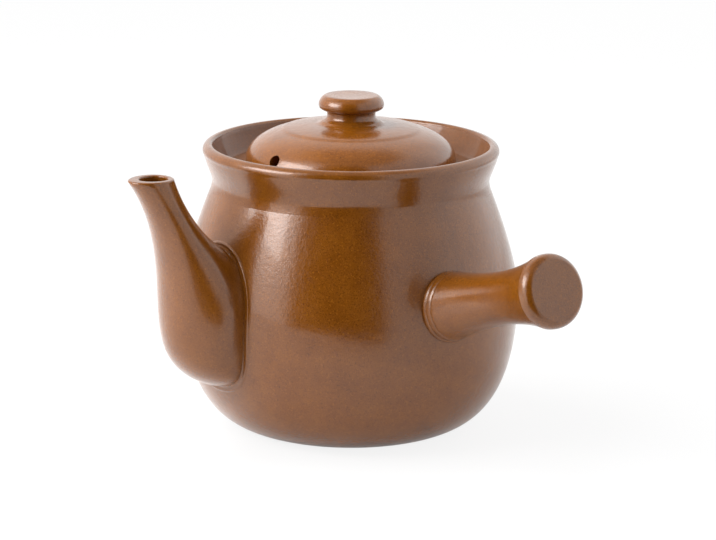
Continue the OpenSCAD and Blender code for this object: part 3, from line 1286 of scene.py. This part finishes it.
world = bpy.data.worlds.new("white_room")
bpy.context.scene.world = world
world.use_nodes = True
tree = world.node_tree
background = tree.nodes["Background"]
background.inputs["Color"].default_value = (1, 1, 1, 1)


def world_node(kind, **settings):
    """A node of the world with its settings."""
    node = tree.nodes.new(kind)
    for key, value in settings.items():
        setattr(node, key, value)
    return node


def math_node(operation, a, b):
    """One step of arithmetic on two values, each a number or a node's result."""
    node = world_node("ShaderNodeMath", operation=operation)
    for socket, value in zip(node.inputs, (a, b)):
        if isinstance(value, bpy.types.NodeSocket):
            tree.links.new(value, socket)
        else:
            socket.default_value = value
    return node.outputs[0]


def step_up(value, at, soft, rise):
    """A soft step of the given rise in the light, at one bearing or height."""
    node = world_node("ShaderNodeMapRange", interpolation_type="SMOOTHSTEP")
    node.inputs["From Min"].default_value = at - soft
    node.inputs["From Max"].default_value = at + soft
    node.inputs["To Max"].default_value = rise
    tree.links.new(value, node.inputs["Value"])
    return node.outputs["Result"]


way = world_node("ShaderNodeSeparateXYZ")
tree.links.new(world_node("ShaderNodeTexCoord").outputs["Generated"], way.inputs[0])
forward_x, forward_y = math.sin(front), -math.cos(front)
right_x, right_y = math.cos(front), math.sin(front)
forward = math_node("ADD", math_node("MULTIPLY", way.outputs["X"], forward_x),
                    math_node("MULTIPLY", way.outputs["Y"], forward_y))
right = math_node("ADD", math_node("MULTIPLY", way.outputs["X"], right_x),
                  math_node("MULTIPLY", way.outputs["Y"], right_y))
bearing = math_node("ARCTAN2", right, forward)
walls = left_light
for edge, soft, before, after in (
        (window_left, soft_edge, left_light, window_light),
        (gap_left, soft_edge, window_light, gap_light),
        (gap_right, soft_edge, gap_light, right_light),
        (far_wall, wall_soft, right_light, far_light),
        (wall_end, wall_soft, far_light, left_light)):
    walls = math_node("ADD", walls, step_up(bearing, edge, soft, after - before))
level = world_node("ShaderNodeMix", data_type="FLOAT")
tree.links.new(step_up(way.outputs["Z"], ceiling_height, height_soft, 1.0),
               level.inputs["Factor"])
tree.links.new(walls, level.inputs["A"])
level.inputs["B"].default_value = ceiling_light
seen = world_node("ShaderNodeLightPath").outputs["Is Camera Ray"]
strength = world_node("ShaderNodeMix", data_type="FLOAT")
tree.links.new(seen, strength.inputs["Factor"])
tree.links.new(level.outputs[0], strength.inputs["A"])
strength.inputs["B"].default_value = seen_light
tree.links.new(strength.outputs[0], background.inputs["Strength"])
print("light of the walls, from the left:",
      left_light, window_light, gap_light, right_light, far_light)

# %% [markdown]
# ## The softboxes
# Two softboxes hang on the left. The wide one gives the bright grainy patch between the spout
# and the collar, the line along the lip and the streak along the handle. The other hangs higher
# and lights the lid, but is kept out of the reflections. Each is placed by its bearing and its
# height, as seen from the pot.

# %% Softboxes
softbox_aim = Vector((0, 0, 0.10))


def softbox(bearing, rise, distance, width, height, radiance):
    """A rectangular lamp turned to the pot. The bearing and the rise are in degrees."""
    facing, rise = front + math.radians(bearing), math.radians(rise)
    way = Vector((
        math.cos(rise) * math.sin(facing),
        -math.cos(rise) * math.cos(facing),
        math.sin(rise),
    ))
    bpy.ops.object.light_add(type="AREA")
    lamp = bpy.context.object
    lamp.data.shape = "RECTANGLE"
    lamp.data.size = width
    lamp.data.size_y = height
    lamp.data.energy = radiance * math.pi * width * height
    lamp.visible_camera = False
    point_at(lamp, softbox_aim + distance * way, softbox_aim)
    print("softbox power in watts:", round(lamp.data.energy, 1))
    return lamp


softbox(bearing=-70, rise=31, distance=0.9, width=0.58, height=0.39, radiance=9.0)
fill = softbox(bearing=-105, rise=56, distance=1.1, width=0.60, height=0.60, radiance=8.5)
fill.visible_glossy = False

bpy.context.scene.view_settings.view_transform = "Standard"
